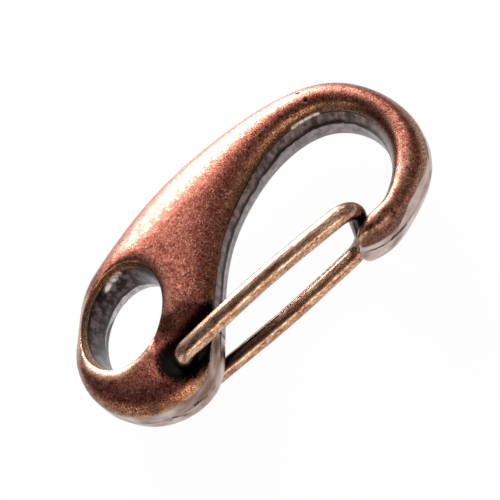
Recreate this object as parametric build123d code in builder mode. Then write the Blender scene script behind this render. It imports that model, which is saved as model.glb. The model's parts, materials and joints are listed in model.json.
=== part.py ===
"""A lobster clasp: one cast hook body, and one bent-wire spring gate that turns in it.

The clasp lies flat. +X runs from the eye to the hook, +Y from the gate to the spine and +Z up.
The origin is on the surface that the clasp lies on, under the middle of its length and width.
The casting's mould parts at its mid-thickness, and both faces of the clasp are alike.
"""
from build123d import *
from math import atan, cos, radians, sin, sqrt
import os

# Casting (millimetres)
half_thickness = 2.9
wall_lean = 0.2              # how far the wall leans in over its height, to leave the mould
levels = (0, 1.25, 1.8, 2.3, 2.65, 2.84, 2.9)    # heights above the parting plane, for the loft
edge_fullness = 1.4          # 1 leaves a corner where the domed face meets the wall, 2 a round

# The casting's outline where the mould parts, from the nose's tip along the outside of the
# hook and the spine, round the eye, and back along the inner wall: x, y, how far the domed
# face reaches in from that point of the edge, and how high the wall stands there.
outline = [
    (5.55, -8.95, 0.80, 1.6),
    (6.90, -9.80, 0.60, 1.6),
    (8.85, -10.14, 0.75, 1.4),
    (11.55, -9.68, 1.05, 1.25),
    (14.32, -8.72, 1.30, 1.15),
    (17.20, -5.48, 1.60, 1.05),
    (18.15, -0.50, 1.70, 1.0),
    (16.47, 4.78, 2.20, 0.8),
    (12.04, 8.08, 3.00, 0.6),
    (5.83, 9.74, 3.90, 0.65),
    (-0.76, 10.24, 4.80, 0.7),
    (-7.54, 9.32, 4.10, 0.7),
    (-13.00, 7.10, 1.70, 0.9),
    (-16.58, 3.52, 1.20, 1.2),
    (-18.12, -0.90, 1.20, 1.4),
    (-16.92, -5.04, 1.60, 1.5),
    (-13.45, -7.60, 1.90, 1.6),
    (-10.15, -7.65, 1.80, 1.6),
    (-7.75, -5.85, 1.80, 1.5),
    (-4.67, -2.58, 2.70, 1.4),
    (-0.48, 0.85, 3.50, 1.4),
    (4.28, 2.88, 2.10, 1.3),
    (9.45, 3.65, 1.30, 1.3),
    (13.30, 2.35, 1.05, 1.3),
    (14.85, -1.00, 0.95, 1.3),
    (13.75, -4.70, 0.95, 1.3),
    (11.25, -6.95, 0.95, 1.4),
    (9.00, -7.82, 0.75, 1.5),
    (6.90, -7.90, 0.60, 1.6),
]

# Oval eye, whose rims flare: height from the parting plane, and how much wider it is there
eye_x = -11.65
eye_y = 1.75
eye_semi_length = 4.7
eye_semi_width = 3.6
eye_angle = 42
eye_levels = ((0, 0), (1.2, 0.06), (2.0, 0.25), (2.5, 0.5), (2.9, 0.86), (3.1, 1.2))

# Wire gate: its legs spread a little from their pins and draw in again at the loop
wire_diameter = 1.58
pivot_x = -10.45
pivot_y = -5.50
gate_angle = -5.2            # the gate's direction from its pivot, measured from +X
gate_length = 17.9           # from the pivot to the crossbar's centre line
pin_end_spread = 3.3         # distances of the wire's corners from the parting plane
bow_spread = 4.0
loop_spread = 3.4
pin_bend_radius = 1.0
bow_radius = 50
loop_bend_radius = 1.9
pin_stagger = 0.12           # each pin sits this far off the hinge line, one each way
pin_end_height = 0.5

# Fits between the gate and the casting
pin_clearance = 0.08
pin_hole_floor = 0.3
seat_clearance = 0.06

# The scoop round each pin, as a ball-nosed cutter would leave it
scoop_radius = 3.6
scoop_depth = 1.15
scoop_ahead = 1.0            # its rounded end lies ahead of the pin, and to the side that the gate opens to
scoop_aside = 1.0

# Worked out from the above
wire_radius = wire_diameter / 2
pin_slope = atan((bow_spread - pin_end_spread) / (gate_length / 2))
loop_slope = atan((bow_spread - loop_spread) / (gate_length / 2))
bow_drop = bow_radius * (cos((pin_slope - loop_slope) / 2) / cos((pin_slope + loop_slope) / 2) - 1)
parting_height = bow_spread - bow_drop + wire_radius
parting = Plane.XY.offset(parting_height)
gate_direction = Vector(cos(radians(gate_angle)), sin(radians(gate_angle)), 0)
opening_side = Vector(-gate_direction.Y, gate_direction.X, 0)
pivot = Vector(pivot_x, pivot_y, parting_height)
crossbar = pivot + gate_direction * gate_length
eye_direction = (cos(radians(eye_angle)), sin(radians(eye_angle)), 0)


def outline_at(height):
    """The outline's points at a height above the parting plane, moved in as the dome has it."""
    points = []
    for i, (x, y, reach, wall) in enumerate(outline):
        before = outline[i - 1]
        after = outline[(i + 1) % len(outline)]
        along = Vector(after[0] - before[0], after[1] - before[1]).normalized()
        inward = Vector(-along.Y, along.X)
        rise = max(height - wall, 0) / (half_thickness - wall)
        inset = wall_lean * min(height / wall, 1) + reach * (1 - sqrt(1 - rise**edge_fullness))
        points.append(Vector(x, y) + inward * inset)
    return points


# Cutter for the eye
with BuildPart() as eye_cutter:
    for height, flare in eye_levels:
        with BuildSketch(Plane(origin=(eye_x, eye_y, parting_height + height), x_dir=eye_direction)):
            Ellipse(eye_semi_length + flare, eye_semi_width + flare)
    loft()
    mirror(about=parting)

# Cutter for the scoops, the blind pin holes and the crossbar's seat in the nose
with BuildPart() as gate_cutter:
    for side in (1, -1):
        scoop_foot = pivot + gate_direction * scoop_ahead + opening_side * scoop_aside
        scoop_centre = scoop_foot + Vector(0, 0, side * (half_thickness - scoop_depth + scoop_radius))
        with Locations(Plane(origin=scoop_centre, z_dir=opening_side)):
            Sphere(scoop_radius)
        with BuildSketch(Plane(origin=scoop_centre, z_dir=gate_direction)):
            Circle(scoop_radius)
        extrude(amount=gate_length / 2)
        pin_foot = pivot + gate_direction * pin_stagger * side + Vector(0, 0, side * pin_hole_floor)
        with BuildSketch(Plane(origin=pin_foot, z_dir=(0, 0, side))):
            Circle(wire_radius + pin_clearance)
        extrude(amount=half_thickness)
    with BuildSketch(Plane(origin=crossbar)):
        Circle(wire_radius + seat_clearance)
    extrude(amount=half_thickness, both=True)

# The casting: its upper half is lofted from the parting plane to its crown, then mirrored
with BuildPart() as hook_body:
    for height in levels:
        with BuildSketch(parting.offset(height)):
            with BuildLine():
                Spline(*outline_at(height), periodic=True)
            make_face()
    loft()
    mirror(about=parting)
    add(eye_cutter.part, mode=Mode.SUBTRACT)
    add(gate_cutter.part, mode=Mode.SUBTRACT)

# The gate's wire, from the lower pin round the loop to the upper pin: each corner's distance
# along the gate and height from the parting plane, and the radius of the bend there
wire_corners = [
    (-pin_stagger, -pin_end_spread, pin_bend_radius),
    (gate_length / 2, -bow_spread, bow_radius),
    (gate_length, -loop_spread, loop_bend_radius),
    (gate_length, loop_spread, loop_bend_radius),
    (gate_length / 2, bow_spread, bow_radius),
    (pin_stagger, pin_end_spread, pin_bend_radius),
]
lower_pin_end = pivot - gate_direction * pin_stagger - Vector(0, 0, pin_end_height)
upper_pin_end = pivot + gate_direction * pin_stagger + Vector(0, 0, pin_end_height)
corner_points = [pivot + gate_direction * along + Vector(0, 0, up) for along, up, bend in wire_corners]
with BuildPart() as wire_gate:
    with BuildLine() as wire_path:
        FilletPolyline(
            lower_pin_end,
            *corner_points,
            upper_pin_end,
            radius=[bend for along, up, bend in wire_corners],
        )
    with BuildSketch(Plane(origin=lower_pin_end, z_dir=(0, 0, -1))):
        Circle(wire_radius)
    sweep()

os.makedirs("parts", exist_ok=True)
hook_body.part.label = "hook_body"
export_step(hook_body.part, "parts/hook_body.step")
wire_gate.part.label = "wire_gate"
export_step(wire_gate.part, "parts/wire_gate.step")
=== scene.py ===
"""The finished lobster clasp: a cast body and a bent-wire gate in antique copper."""
import json
import math
from functools import cached_property

import bpy
import numpy as np
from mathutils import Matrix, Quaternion, Vector


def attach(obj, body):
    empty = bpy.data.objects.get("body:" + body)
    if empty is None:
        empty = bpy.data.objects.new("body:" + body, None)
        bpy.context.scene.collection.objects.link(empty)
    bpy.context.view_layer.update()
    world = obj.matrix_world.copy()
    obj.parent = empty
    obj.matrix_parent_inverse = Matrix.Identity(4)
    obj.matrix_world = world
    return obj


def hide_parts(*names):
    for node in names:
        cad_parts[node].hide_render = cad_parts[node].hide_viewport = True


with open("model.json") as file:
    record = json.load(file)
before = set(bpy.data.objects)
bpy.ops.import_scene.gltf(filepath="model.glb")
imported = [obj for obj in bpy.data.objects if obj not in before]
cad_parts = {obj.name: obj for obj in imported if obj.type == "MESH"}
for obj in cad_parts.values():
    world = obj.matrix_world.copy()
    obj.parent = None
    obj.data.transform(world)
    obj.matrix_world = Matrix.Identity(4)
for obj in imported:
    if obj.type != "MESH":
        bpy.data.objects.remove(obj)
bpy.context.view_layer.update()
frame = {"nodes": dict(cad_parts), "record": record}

MM = 0.001
MERGE_WITHIN = 0.0005 * MM    # corners of the CAD's loose triangles that are one point

# ---------------------------------------------------------------- places on the clasp, in metres
MOUNTS = {mount["name"]: mount["pos_m"] for mount in frame["record"]["mounts"]}
EYE = np.array(MOUNTS["eye"])
EYE_TURN = math.radians(42)          # its long axis, from +X
EYE_HALVES = (4.7 * MM, 3.6 * MM)    # half its length and half its width
HINGE = frame["record"]["behaviour"]["joints"][0]["pos_m"]
PARTING = HINGE[2]                   # where the casting's mould parts
CROSSBAR = (0.00738, -0.00712)       # the closed gate's crossbar, in plan
NOSE = (0.0070, -0.0090)
SCOOP = ((-0.0094, -0.0046), (-0.0050, -0.0050))     # middle line of the scoop round a pin
POCKET = ((-0.0105, -0.0052), (-0.0064, -0.0049))    # and of the black finish and painted shade in it
BOWL = ((-0.0045, -0.0046), (0.0105, -0.0020))       # middle line of the hook's bowl

# Blow-holes and small bumps in the upper face: x, y, radius and height
PITS = (
    (0.01324, 0.00536, 0.26 * MM, -0.12 * MM),
    (0.01293, 0.00406, 0.28 * MM, -0.14 * MM),
)
BUMPS = (
    (-0.00596, 0.00206, 0.34 * MM, 0.03 * MM),
    (-0.00562, 0.00165, 0.30 * MM, 0.025 * MM),
    (-0.00681, -0.00066, 0.32 * MM, 0.03 * MM),
    (-0.00330, 0.00520, 0.30 * MM, 0.02 * MM),
)

# Painted glints: pale patches on the eye's upper wall, the hook's inner edge and the nose: start,
# end and half width
NICKS = (
    ((-0.01110, 0.00562, 0.00600), (-0.01080, 0.00566, 0.00612), 0.46 * MM),
    ((-0.01020, 0.00569, 0.00622), (-0.00960, 0.00564, 0.00640), 0.48 * MM),
    ((0.01060, 0.00378, 0.00619), (0.01185, 0.00345, 0.00621), 0.25 * MM),
    ((0.01185, 0.00345, 0.00621), (0.01300, 0.00290, 0.00624), 0.22 * MM),
    ((0.00708, -0.00928, 0.00735), (0.00800, -0.00905, 0.00745), 0.16 * MM),
)

# Dark marks on the outer wall, where the casting's flash was broken off: start and end
FLASH_MARKS = (
    ((-0.01230, -0.00784, 0.00466), (-0.01130, -0.00767, 0.00430)),
    ((-0.01430, -0.00731, 0.00466), (-0.01350, -0.00738, 0.00420)),
    ((-0.01500, -0.00690, 0.00440), (-0.01470, -0.00700, 0.00430)),
    ((0.00810, -0.01008, 0.00466), (0.00960, -0.01002, 0.00460)),
    ((0.01605, -0.00655, 0.00610), (0.01505, -0.00780, 0.00590)),
)

# Painted shade: where the copper is darkened to stand for shade, in plan: start, end, half width
# and strength
PATINA = (
    ((0.0168, 0.0005), (0.0150, -0.0052), 1.7 * MM, 0.60),
    ((0.0150, -0.0052), (0.0125, -0.0078), 1.6 * MM, 0.55),
    ((0.0105, -0.0094), (0.0070, -0.0096), 2.2 * MM, 0.90),
    ((-0.0165, -0.0020), (-0.0150, -0.0050), 2.2 * MM, 0.25),
    ((-0.0137, -0.0025), (-0.0100, -0.0020), 1.4 * MM, 0.60),
    ((-0.0100, -0.0020), (-0.0080, 0.0010), 1.3 * MM, 0.50),
    ((0.0150, 0.0065), (0.0172, 0.0035), 2.2 * MM, 0.10),
    ((0.0148, -0.0030), (0.0136, -0.0062), 1.2 * MM, 0.80),
    ((0.0136, -0.0062), (0.0112, -0.0081), 1.2 * MM, 0.85),
    ((0.0112, -0.0081), (0.0085, -0.0087), 1.2 * MM, 0.85),
    ((-0.0020, 0.0040), (-0.0060, -0.0010), 2.6 * MM, 0.18),
)


# ---------------------------------------------------------------- working on a piece
def deselect_all():
    bpy.ops.object.select_all(action="DESELECT")


def pick(piece):
    """Makes the piece the only one selected, and the active one."""
    deselect_all()
    piece.select_set(True)
    bpy.context.view_layer.objects.active = piece


def copy_of_node(node, name):
    """A new piece with a copy of a CAD node's mesh, its loose triangles merged."""
    piece = bpy.data.objects.new(name, frame["nodes"][node].data.copy())
    bpy.context.scene.collection.objects.link(piece)
    piece.data.materials.clear()
    pick(piece)
    bpy.ops.object.mode_set(mode="EDIT")
    bpy.ops.mesh.select_all(action="SELECT")
    bpy.ops.mesh.remove_doubles(threshold=MERGE_WITHIN)
    bpy.ops.object.mode_set(mode="OBJECT")
    return piece


def remesh(piece, voxel):
    """Turns the piece into an even net of small quads."""
    pick(piece)
    net = piece.modifiers.new("net", "REMESH")
    net.mode = "VOXEL"
    net.voxel_size = voxel
    bpy.ops.object.modifier_apply(modifier=net.name)
    bpy.ops.object.shade_smooth()


def ease(piece, rounds, group=""):
    """Relaxes the piece, or the share of it that a vertex group holds."""
    pick(piece)
    relax = piece.modifiers.new("ease", "SMOOTH")
    relax.factor = 0.5
    relax.iterations = rounds
    relax.vertex_group = group
    bpy.ops.object.modifier_apply(modifier=relax.name)


def places_and_normals(piece):
    mesh = piece.data
    places = np.empty(len(mesh.vertices) * 3)
    mesh.vertices.foreach_get("co", places)
    normals = np.empty(len(mesh.vertices) * 3)
    mesh.vertex_normals.foreach_get("vector", normals)
    return places.reshape(-1, 3), normals.reshape(-1, 3)


def place_all(piece, places):
    flat = np.ascontiguousarray(places, dtype=np.float32).ravel()
    piece.data.vertices.foreach_set("co", flat)
    piece.data.update()


def keep_group(piece, name, weights):
    """A vertex group from one weight for each vertex, in steps of a tenth."""
    group = piece.vertex_groups.new(name=name)
    for step in range(1, 11):
        held = np.flatnonzero(np.round(weights * 10) == step)
        group.add([int(number) for number in held], step / 10, "REPLACE")
    return group.name


def keep_layers(piece, **layers):
    """Point attributes that the materials read."""
    for name, values in layers.items():
        layer = piece.data.attributes.new(name, "FLOAT", "POINT")
        layer.data.foreach_set("value", np.ascontiguousarray(values, dtype=np.float32))


def ramp(values, low, high):
    """Nothing up to the low value, one from the high value, and a soft step between."""
    share = np.clip((values - low) / (high - low), 0, 1)
    return share * share * (3 - 2 * share)


def from_spot(places, spot):
    """How far each place lies from a spot, in plan."""
    return np.hypot(places[:, 0] - spot[0], places[:, 1] - spot[1])


def from_line(places, start, end):
    """How far each place lies from a line, and the line's nearest point.

    The line's ends have two numbers for distances in plan, or three for distances in space.
    """
    start, end = np.array(start), np.array(end)
    run = end - start
    places = places[:, :len(start)]
    share = np.clip(((places - start) @ run) / (run @ run), 0, 1)
    nearest = start + share[:, None] * run
    return np.linalg.norm(places - nearest, axis=1), nearest


def stroke(places, start, end, core, half_width):
    """One on a line as far as its core, falling to nothing at its half width."""
    away, _ = from_line(places, start, end)
    return 1 - ramp(away, core, half_width)


def beyond_eye(places):
    """How far each place lies outside the eye's oval, in plan."""
    across = places[:, :2] - EYE[:2]
    along = across[:, 0] * math.cos(EYE_TURN) + across[:, 1] * math.sin(EYE_TURN)
    aside = across[:, 1] * math.cos(EYE_TURN) - across[:, 0] * math.sin(EYE_TURN)
    size = np.hypot(along / EYE_HALVES[0], aside / EYE_HALVES[1])
    return (size - 1) * np.hypot(along, aside) / np.maximum(size, 0.01)


def roundness(piece, rounds):
    """How far easing would draw each place inwards: high on outer edges, negative in hollows."""
    places, normals = places_and_normals(piece)
    ends = np.empty(len(piece.data.edges) * 2, dtype=np.int32)
    piece.data.edges.foreach_get("vertices", ends)
    first, second = ends.reshape(-1, 2).T
    count = np.bincount(ends, minlength=len(places))[:, None]
    eased = places.copy()
    for _ in range(rounds):
        total = np.zeros_like(eased)
        for axis in range(3):
            total[:, axis] = np.bincount(first, eased[second, axis], len(places))
            total[:, axis] += np.bincount(second, eased[first, axis], len(places))
        eased = 0.5 * eased + 0.5 * total / count
    return ((places - eased) * normals).sum(axis=1)


# ---------------------------------------------------------------- the cast body
NET = 0.135 * MM           # side of the net's quads
EYE_WALL_IN = 0.30 * MM    # how far the eye's wall and its flared rim move in
EYE_RIM_IN = 0.52 * MM
CROWN_ROUNDS = 220         # how much the domed face is relaxed, and then the whole casting
WHOLE_ROUNDS = 14
WEAR_ROUNDS = 24           # how much easing tells rubbed edges and hollows from flat metal


def draw_in_eye(piece, wall, rim):
    """Narrows the eye: its wall and flared rim move in, and the face round them less and less."""
    places, _ = places_and_normals(piece)
    off_eye = beyond_eye(places)
    toward = EYE[:2] - places[:, :2]
    toward /= np.linalg.norm(toward, axis=1)[:, None]
    shift = wall + (rim - wall) * ramp(off_eye, 0.1 * MM, 0.8 * MM)
    shift *= 1 - ramp(off_eye, 0.75 * MM, 1.4 * MM)
    places[:, :2] += toward * shift[:, None]
    place_all(piece, places)


def raise_spot(piece, x, y, radius, height):
    """A small bump in the upper face, or with a negative height a pit."""
    places, normals = places_and_normals(piece)
    away = from_spot(places, (x, y))
    lift = height * (1 - ramp(away, 0.2 * radius, radius)) * (normals[:, 2] > 0.5)
    place_all(piece, places + normals * lift[:, None])


def soften(piece):
    """Rounds the casting as the mould and the tumbling barrel leave it."""
    remesh(piece, NET)
    draw_in_eye(piece, EYE_WALL_IN, EYE_RIM_IN)
    places, normals = places_and_normals(piece)
    off_scoop, _ = from_line(places, *SCOOP)
    crown = ramp(np.abs(normals[:, 2]), 0.25, 0.6)
    crown *= ramp(beyond_eye(places), 1.0 * MM, 2.0 * MM)
    crown *= ramp(off_scoop, 1.7 * MM, 2.5 * MM)
    ease(piece, CROWN_ROUNDS, keep_group(piece, "crown", crown))
    ease(piece, WHOLE_ROUNDS)
    for x, y, radius, height in PITS + BUMPS:
        raise_spot(piece, x, y, radius, height)


def lay_out_finish(piece):
    """Marks where the casting's finish is dark, rubbed or bare, and where shade, highlights and
    glints are painted on.
    """
    places, normals = places_and_normals(piece)
    above = places[:, 2] - PARTING
    upright = np.abs(normals[:, 2])
    edges = roundness(piece, WEAR_ROUNDS)
    off_eye = beyond_eye(places)
    in_eye = 1 - ramp(off_eye, 0.5 * MM, 0.9 * MM)
    far_side_of_eye = ramp(EYE[0] - places[:, 0], 0.0, 2.5 * MM)

    # the wall ends lower by the nose, and higher in the eye
    by_nose = 1 - ramp(from_spot(places, NOSE), 2.0 * MM, 4.0 * MM)
    wall_top = above + (by_nose * 0.8 - in_eye * 0.3) * MM
    steep = 1 - ramp(upright + 0.15 * in_eye * far_side_of_eye, 0.24, 0.5)
    steep *= 1 - ramp(wall_top, 1.35 * MM, 1.6 * MM)

    # the bowl's inner wall keeps its dark finish as far as the gate
    _, bowl_middle = from_line(places, *BOWL)
    to_bowl = ((bowl_middle - places[:, :2]) * normals[:, :2]).sum(axis=1) > 0
    to_bowl &= off_eye > 1.2 * MM
    beyond_gate = ramp(places[:, 0] + places[:, 1], -12.4 * MM, -11.2 * MM)
    inner = np.maximum(in_eye, np.where(to_bowl, beyond_gate, 0))

    # so do the scoops, the pin holes and the crossbar's seat, where it is thickest; there the
    # black is partly painted shade
    scoop = stroke(places, *POCKET, 1.4 * MM, 2.65 * MM) * ramp(upright, 0.25, 0.5)
    pin_hole = 1 - ramp(from_spot(places, HINGE), 0.95 * MM, 1.1 * MM)
    seat = 1 - ramp(from_spot(places, CROSSBAR), 1.0 * MM, 1.9 * MM)
    seat *= 1 - ramp(upright, 0.5, 0.8)

    pit = 1 - ramp(
        np.minimum(from_spot(places, PITS[0]), from_spot(places, PITS[1])),
        0.10 * MM, 0.22 * MM,
    )
    # pale patches painted as glints of light
    nicks = [
        stroke(places, start, end, 0.2 * half_width, half_width)
        for start, end, half_width in NICKS
    ]
    flash_marks = [
        stroke(places, start, end, 0.14 * MM, 0.36 * MM)
        for start, end in FLASH_MARKS
    ]
    # painted shade along the strokes of the shade table
    patina = [
        strength * stroke(places, start, end, 0.3 * half_width, half_width)
        for start, end, half_width, strength in PATINA
    ]
    # painted highlight: the eye's rim is lighter on its far side
    rim = (1 - ramp(off_eye, 0.7 * MM, 1.1 * MM)) * ramp(upright, 0.2, 0.4) * far_side_of_eye
    # rubbed edges, pale both as wear and as a painted highlight
    rubbed = ramp(edges, 0.022 * MM, 0.060 * MM)
    rubbed *= 0.15 + 0.85 * ramp(off_eye, 1.2 * MM, 1.8 * MM)
    keep_layers(
        piece,
        side=steep,
        hollow=steep * inner,
        slope=1 - ramp(upright, 0.45, 0.92),
        eye=in_eye,
        rim=rim,
        bowl_edge=np.where(to_bowl, 1 - ramp(upright, 0.35, 0.65), 0),
        pocket=np.maximum.reduce([scoop, pin_hole, seat]),
        patina=np.maximum.reduce(patina),
        wear=rubbed,
        dip=ramp(-edges, 0.004 * MM, 0.030 * MM),
        nick=np.maximum.reduce(nicks),
        flash_mark=np.maximum.reduce(flash_marks),
        pit=pit * (normals[:, 2] > 0),
    )


body = copy_of_node("hook_body", "cast_body")
soften(body)
lay_out_finish(body)
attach(body, "hook_body")
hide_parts("hook_body")


# ---------------------------------------------------------------- the wire gate
def blacken(piece):
    """Marks where the wire is painted black: black finish and painted shade at the nose and in its
    holes, and painted shade on the loop's inner faces.
    """
    places, normals = places_and_normals(piece)
    above = places[:, 2] - PARTING
    reach = from_spot(places, HINGE)
    in_nose = ramp(reach, 16.6 * MM, 17.3 * MM) * (1 - ramp(np.abs(above), 2.2 * MM, 3.1 * MM))
    in_hole = 1 - ramp(reach, 0.9 * MM, 1.4 * MM)
    in_hole *= 1 - ramp(np.abs(above), 2.3 * MM, 3.0 * MM)
    facing_in = ramp(-np.sign(above) * normals[:, 2], 0.70, 0.98)
    facing_in *= 1 - 0.70 * ramp(reach, 4.0 * MM, 12.0 * MM)
    keep_layers(piece, soot=np.maximum.reduce([in_nose, in_hole, 0.95 * facing_in]))


gate = copy_of_node("wire_gate", "gate_wire")
pick(gate)
bpy.ops.object.shade_smooth()
blacken(gate)
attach(gate, "wire_gate")
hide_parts("wire_gate")


# ---------------------------------------------------------------- materials
# Colours of the finish, and of the shade, highlights, glints and reflections painted on it. Where
# there are two, the finish goes from the first to the second.
COPPER = (0.082, 0.018, 0.012), (0.33, 0.096, 0.064)
COPPER_FLECK = (0.80, 0.53, 0.40)
DARK_SPECK = (0.04, 0.012, 0.010)
BRASSY = (0.09, 0.042, 0.021), (0.45, 0.25, 0.135)
# the colour of the painted highlight on the eye's rim
EYE_RIM = (0.27, 0.12, 0.075), (0.70, 0.42, 0.30)
BOWL_EDGE = (0.030, 0.013, 0.009), (0.19, 0.085, 0.055)
# the darker copper of the painted shade
LESS_RUBBED = (0.040, 0.010, 0.007), (0.33, 0.115, 0.083)
# the pale colour of worn edges, which also serves as a painted highlight
RUBBED_EDGE = (0.88, 0.58, 0.36)
BARE_METAL = (0.22, 0.125, 0.095), (0.60, 0.48, 0.43)
UPPER_WALL = (0.050, 0.033, 0.029), (0.23, 0.155, 0.142)
# paler colours below the parting line: a painted reflection of the floor
LOWER_WALL = (0.13, 0.10, 0.10), (0.30, 0.24, 0.25)
EYE_UPPER_WALL = (0.012, 0.008, 0.008), (0.12, 0.085, 0.082)
# the eye's lower wall, pale as a painted reflection of the floor
EYE_LOWER_WALL = (0.25, 0.21, 0.22), (0.52, 0.46, 0.49)
SEAM_BLACK = (0.012, 0.008, 0.008)
WALL_BORDER = (0.02, 0.012, 0.010)
# the pale colour of the painted glints
KNOCKED_METAL = (0.92, 0.78, 0.66)
FLASH_BLACK = (0.015, 0.010, 0.010)
# black finish and painted shade round the pins
POCKET_BLACK = (0.003, 0.002, 0.002)
WIRE = (0.20, 0.074, 0.054), (0.53, 0.31, 0.20)
WIRE_FLECK = (0.90, 0.71, 0.53)
# black finish and painted shade on the wire
WIRE_BLACK = (0.020, 0.013, 0.012)
PAPER = (0.85, 0.85, 0.85)


class Finish:
    """A material's nodes, added and joined by name."""

    def __init__(self, name):
        self.material = bpy.data.materials.new(name)
        self.material.use_nodes = True
        self.tree = self.material.node_tree
        self.shader = self.tree.nodes["Principled BSDF"]

    @cached_property
    def place(self):
        return self.add("ShaderNodeTexCoord").outputs["Object"]

    def add(self, kind, **settings):
        node = self.tree.nodes.new(kind)
        for key, value in settings.items():
            setattr(node, key, value)
        return node

    def join(self, source, socket):
        self.tree.links.new(source, socket)

    def noise(self, size, detail=2.0, roughness=0.5, stretch=None):
        """Noise with features about `size` metres across, longer where stretch is under one."""
        node = self.add("ShaderNodeTexNoise")
        node.inputs["Scale"].default_value = 1 / size
        node.inputs["Detail"].default_value = detail
        node.inputs["Roughness"].default_value = roughness
        place = self.place
        if stretch:
            mapping = self.add("ShaderNodeMapping")
            mapping.inputs["Scale"].default_value = stretch
            self.join(place, mapping.inputs["Vector"])
            place = mapping.outputs["Vector"]
        self.join(place, node.inputs["Vector"])
        return node.outputs["Fac"]

    def cells(self, size):
        """Small patches, each of one value."""
        node = self.add("ShaderNodeTexVoronoi")
        node.inputs["Scale"].default_value = 1 / size
        self.join(self.place, node.inputs["Vector"])
        return node.outputs["Color"]

    def layer(self, name):
        return self.add("ShaderNodeAttribute", attribute_name=name).outputs["Fac"]

    def height(self):
        """Height above the parting plane."""
        split = self.add("ShaderNodeSeparateXYZ")
        self.join(self.place, split.inputs["Vector"])
        return self.maths("SUBTRACT", split.outputs["Z"], PARTING)

    def maths(self, operation, first, second=0.0):
        node = self.add("ShaderNodeMath", operation=operation)
        for socket, value in zip(node.inputs, (first, second)):
            if isinstance(value, (int, float)):
                socket.default_value = value
            else:
                self.join(value, socket)
        return node.outputs["Value"]

    def times(self, first, second):
        return self.maths("MULTIPLY", first, second)

    def mixture(self, *shares):
        """A weighted sum of values."""
        total = 0.0
        for value, weight in shares:
            total = self.maths("ADD", self.times(value, weight), total)
        return total

    def spread(self, value, low, high, to_low=0.0, to_high=1.0):
        """A soft step from one number to another as the value goes from low to high."""
        node = self.add("ShaderNodeMapRange", interpolation_type="SMOOTHSTEP")
        self.join(value, node.inputs["Value"])
        for name, number in (
            ("From Min", low),
            ("From Max", high),
            ("To Min", to_low),
            ("To Max", to_high),
        ):
            node.inputs[name].default_value = number
        return node.outputs["Result"]

    def sway(self, value, noise, by):
        """The value, raised and lowered by up to an amount as the noise has it."""
        return self.maths("ADD", value, self.spread(noise, 0.3, 0.7, -by, by))

    def band(self, value, middle, half_width):
        """One at the middle, falling to nothing at the half width."""
        away = self.maths("ABSOLUTE", self.maths("SUBTRACT", value, middle))
        return self.spread(away, half_width * 0.5, half_width, 1.0, 0.0)

    def blend(self, amount, first, second):
        """A colour between two colours, or node outputs, by an amount."""
        node = self.add("ShaderNodeMix", data_type="RGBA")
        self.join(amount, node.inputs["Factor"])
        for socket, value in ((node.inputs[6], first), (node.inputs[7], second)):
            if isinstance(value, tuple):
                socket.default_value = (*value, 1)
            else:
                self.join(value, socket)
        return node.outputs[2]

    def shade(self, value, low, high, dark, light):
        """A colour from dark to light as the value goes from low to high."""
        return self.blend(self.spread(value, low, high), dark, light)

    def raise_by(self, height, distance):
        node = self.add("ShaderNodeBump")
        node.inputs["Distance"].default_value = distance
        node.inputs["Strength"].default_value = 1.0
        self.join(height, node.inputs["Height"])
        self.join(node.outputs["Normal"], self.shader.inputs["Normal"])


def plated_faces(finish, tone, fleck, cloud):
    """Speckled copper, brassy where it slopes, darker towards the bowl's inner edge, with painted
    shade, a painted highlight on the eye's rim, and pale edges that are worn and painted as
    highlights.
    """
    layer = finish.layer
    plate = finish.shade(tone, 0.37, 0.56, *COPPER)
    plate = finish.blend(fleck, plate, COPPER_FLECK)
    speck = finish.spread(finish.noise(0.30 * MM, 1.0), 0.68, 0.74)
    plate = finish.blend(speck, plate, DARK_SPECK)
    brassy = finish.shade(tone, 0.38, 0.62, *BRASSY)
    plate = finish.blend(finish.times(layer("slope"), 0.85), plate, brassy)
    # painted highlight on the far side of the eye's rim
    bright = finish.shade(tone, 0.36, 0.60, *EYE_RIM)
    plate = finish.blend(layer("rim"), plate, bright)
    # darker towards the bowl's inner edge
    recess = finish.shade(tone, 0.40, 0.62, *BOWL_EDGE)
    plate = finish.blend(finish.times(layer("bowl_edge"), 0.82), plate, recess)
    # painted shade: darker copper on the hook's arm, the nose and spots round the eye and the body
    patina = finish.shade(tone, 0.40, 0.66, *LESS_RUBBED)
    plate = finish.blend(layer("patina"), plate, patina)
    # pale edges: wear and a painted highlight
    rubbed = finish.times(finish.times(layer("wear"), finish.spread(cloud, 0.35, 0.6)), 0.6)
    return finish.blend(rubbed, plate, RUBBED_EDGE)


def outer_wall(finish):
    """Metal that is almost bare, faintly streaked along the wall."""
    drawn = finish.noise(0.5 * MM, 3.0, stretch=(0.2, 0.2, 1))
    patched = finish.mixture((finish.noise(2.2 * MM), 0.75), (drawn, 0.25))
    return finish.shade(patched, 0.34, 0.66, *BARE_METAL)


def inner_wall(finish, height, wave, eye):
    """The bowl's and the eye's dark wall: paler below the parting line, as a painted reflection of
    the floor, and black just above it.
    """
    seam = finish.sway(height, wave, 0.15 * MM)
    seam = finish.maths("ADD", seam, finish.times(eye, 1.3 * MM))
    streak = finish.noise(0.55 * MM, 4.0, 0.6, stretch=(1, 1, 0.5))
    upper = finish.blend(
        eye,
        finish.shade(streak, 0.30, 0.72, *UPPER_WALL),
        finish.shade(streak, 0.40, 0.66, *EYE_UPPER_WALL),
    )
    upper = finish.shade(seam, 0.15 * MM, 0.8 * MM, SEAM_BLACK, upper)
    # below the parting line: painted reflection of the white floor
    lower = finish.blend(
        eye,
        finish.shade(streak, 0.3, 0.7, *LOWER_WALL),
        finish.shade(streak, 0.3, 0.7, *EYE_LOWER_WALL),
    )
    return finish.shade(seam, -0.06 * MM, 0.06 * MM, lower, upper)


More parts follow.
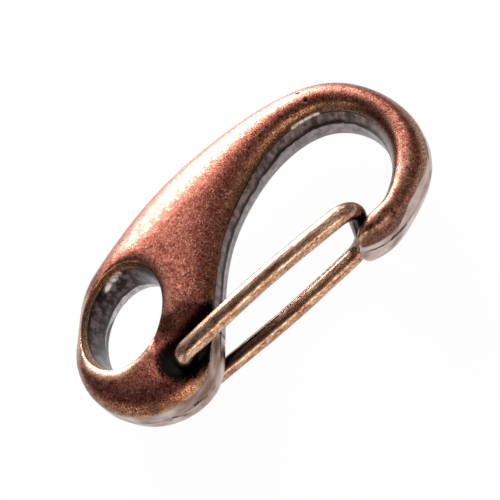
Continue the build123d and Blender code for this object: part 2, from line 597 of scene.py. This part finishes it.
def antique_copper():
    """Copper plate rubbed back on the outside and left dark in the hollows, with painted shade,
    highlights, glints and a painted floor reflection on the lower inner walls.
    """
    finish = Finish("antique_copper")
    grain = finish.noise(0.095 * MM, 2.0, 0.6)
    cells = finish.cells(0.13 * MM)
    cloud = finish.noise(0.7 * MM, 3.0, 0.6)
    patch = finish.noise(3.5 * MM)
    wave = finish.noise(1.3 * MM)
    height = finish.height()
    side = finish.layer("side")
    hollow = finish.layer("hollow")

    tone = finish.mixture(
        (grain, 0.58),
        (cells, 0.19),
        (cloud, 0.16),
        (patch, 0.07),
        (finish.layer("wear"), 0.03),
        (finish.layer("dip"), -0.10),
    )
    fleck = finish.spread(tone, 0.56, 0.66)
    colour = plated_faces(finish, tone, fleck, cloud)
    colour = finish.blend(side, colour, outer_wall(finish))
    edge = finish.sway(hollow, cloud, 0.2)
    wall = inner_wall(finish, height, wave, finish.layer("eye"))
    colour = finish.shade(edge, 0.30, 0.75, colour, wall)
    colour = finish.blend(finish.band(hollow, 0.45, 0.35), colour, WALL_BORDER)

    # painted glints, and broken dark marks along the outer wall's parting line
    nick = finish.spread(finish.noise(0.6 * MM), 0.30, 0.55)
    nick = finish.times(finish.layer("nick"), nick)
    colour = finish.blend(nick, colour, KNOCKED_METAL)
    marks = finish.band(finish.sway(height, wave, 0.06 * MM), 0.0, 0.15 * MM)
    marks = finish.times(marks, finish.spread(finish.noise(2.2 * MM), 0.40, 0.60))
    marks = finish.times(marks, side)
    broken = finish.sway(finish.layer("flash_mark"), finish.noise(0.25 * MM), 0.25)
    marks = finish.maths("MAXIMUM", marks, finish.spread(broken, 0.35, 0.7))
    colour = finish.blend(marks, colour, FLASH_BLACK)

    # round the pins the finish is almost black, partly as painted shade in the scoop, the pin
    # holes and the seat
    soot = finish.spread(tone, 0.37, 0.63, -0.34, 0.20)
    soot = finish.spread(finish.maths("ADD", finish.layer("pocket"), soot), 0.25, 0.70)
    soot = finish.maths("MAXIMUM", soot, finish.layer("pit"))
    colour = finish.blend(soot, colour, POCKET_BLACK)
    finish.join(colour, finish.shader.inputs["Base Color"])

    # flecks and the bare wall are smoother, and the black and painted shade are matt
    rough = finish.spread(fleck, 0, 1, 0.37, 0.17)
    rough = finish.maths("ADD", rough, finish.spread(soot, 0, 1, 0.0, 0.5))
    rough = finish.maths("SUBTRACT", rough, finish.times(side, 0.06))
    finish.join(rough, finish.shader.inputs["Roughness"])
    finish.shader.inputs["Metallic"].default_value = 1.0
    relief = finish.mixture((grain, 0.45), (cells, 0.08), (cloud, 0.47))
    finish.raise_by(finish.times(relief, finish.spread(side, 0, 1, 1.0, 0.25)), 0.018 * MM)
    return finish.material


def coppered_wire():
    """Drawn wire with the same plating, its grain smeared along the wire."""
    finish = Finish("coppered_wire")
    along = finish.add("ShaderNodeMapping")
    along.inputs["Rotation"].default_value = (0, 0, math.radians(5.2))
    along.inputs["Scale"].default_value = (0.32, 1, 1)
    finish.join(finish.place, along.inputs["Vector"])
    finish.place = along.outputs["Vector"]
    grain = finish.noise(0.09 * MM, 2.0, 0.6)
    cloud = finish.noise(0.45 * MM)
    tone = finish.mixture((grain, 0.6), (cloud, 0.4))
    colour = finish.shade(tone, 0.36, 0.55, *WIRE)
    colour = finish.shade(tone, 0.52, 0.67, colour, WIRE_FLECK)
    # black finish and painted shade at the nose, in the holes and on the loop's inner faces
    colour = finish.blend(finish.layer("soot"), colour, WIRE_BLACK)
    finish.join(colour, finish.shader.inputs["Base Color"])
    finish.shader.inputs["Metallic"].default_value = 1.0
    finish.join(finish.spread(grain, 0.35, 0.65, 0.32, 0.24), finish.shader.inputs["Roughness"])
    finish.raise_by(tone, 0.004 * MM)
    return finish.material


def white_paper():
    """A pale floor that the camera and the metal see as plain white, with a trace of shadow."""
    finish = Finish("white_paper")
    finish.shader.inputs["Base Color"].default_value = (*PAPER, 1)
    finish.shader.inputs["Roughness"].default_value = 0.9
    finish.shader.inputs["Specular IOR Level"].default_value = 0.0
    glow = finish.add("ShaderNodeEmission")
    path = finish.add("ShaderNodeLightPath").outputs
    seen = finish.maths("MAXIMUM", path["Is Glossy Ray"], path["Is Transmission Ray"])
    seen = finish.maths("MAXIMUM", seen, path["Is Camera Ray"])
    mix = finish.add("ShaderNodeMixShader")
    finish.join(finish.times(seen, PAPER_WHITENESS), mix.inputs[0])
    finish.join(finish.shader.outputs["BSDF"], mix.inputs[1])
    finish.join(glow.outputs["Emission"], mix.inputs[2])
    finish.join(mix.outputs["Shader"], finish.tree.nodes["Material Output"].inputs["Surface"])
    return finish.material


body.data.materials.append(antique_copper())
gate.data.materials.append(coppered_wire())

# ---------------------------------------------------------------- floor, light and camera
FLOOR_SIDE = 1.2
PAPER_WHITENESS = 0.97     # the rest is left to the clasp's shadow
ROOM_LIGHT = 0.17
LAMP_DISTANCE = 0.60
# bearing from +X and rise above the floor in degrees, width, height, radiance and colour
LAMPS = {
    "side_card": (-170, 14, 0.36, 0.24, 1.2, (1.0, 0.95, 0.90)),
    "window": (73, 17, 0.34, 0.36, 27.0, (1.0, 0.98, 0.97)),
    "corner_card": (46, 33, 0.34, 0.42, 2.8, (1.0, 0.97, 0.94)),
    "upper_card": (50, 62, 0.46, 0.30, 0.65, (1.0, 0.96, 0.94)),
    "high_card": (-35, 45, 0.50, 0.46, 0.32, (1.0, 0.96, 0.92)),
    "front_card": (-96, 21, 0.70, 0.28, 2.3, (1.0, 0.90, 0.76)),
}
CAMERA_PLACE = Vector((-7.75, -32.82, 55.14)) * MM
CAMERA_TARGET = Vector((-0.15, -1.18, 4.66)) * MM
CAMERA_ROLL = math.radians(-33.8)
CAMERA_LENS = 50.4

deselect_all()
bpy.ops.mesh.primitive_plane_add(size=FLOOR_SIDE, location=(0, 0, 0))
floor = bpy.context.object
floor.name = "floor"
floor.data.materials.append(white_paper())

world = bpy.data.worlds.new("room")
bpy.context.scene.world = world
world.use_nodes = True
world.node_tree.nodes["Background"].inputs["Color"].default_value = (1, 1, 1, 1)
world.node_tree.nodes["Background"].inputs["Strength"].default_value = ROOM_LIGHT


def softbox(name, bearing, rise, width, height, radiance, colour):
    """A soft rectangular lamp that faces the clasp."""
    lamp = bpy.data.lights.new(name, "AREA")
    lamp.shape = "RECTANGLE"
    lamp.size = width
    lamp.size_y = height
    lamp.energy = radiance * math.pi * width * height
    lamp.color = colour
    holder = bpy.data.objects.new(name, lamp)
    bpy.context.scene.collection.objects.link(holder)
    bearing, rise = math.radians(bearing), math.radians(rise)
    away = Vector((
        math.cos(bearing) * math.cos(rise),
        math.sin(bearing) * math.cos(rise),
        math.sin(rise),
    ))
    holder.location = away * LAMP_DISTANCE
    holder.rotation_euler = away.to_track_quat("Z", "Y").to_euler()


for name, settings in LAMPS.items():
    softbox(name, *settings)

camera = bpy.data.objects.new("camera", bpy.data.cameras.new("camera"))
bpy.context.scene.collection.objects.link(camera)
camera.data.lens = CAMERA_LENS
camera.data.sensor_width = 36
camera.data.clip_start = 0.001
camera.location = CAMERA_PLACE
aim = (CAMERA_TARGET - CAMERA_PLACE).to_track_quat("-Z", "Y")
camera.rotation_euler = (aim @ Quaternion((0, 0, 1), CAMERA_ROLL)).to_euler()
bpy.context.scene.camera = camera
bpy.context.scene.view_settings.view_transform = "Standard"
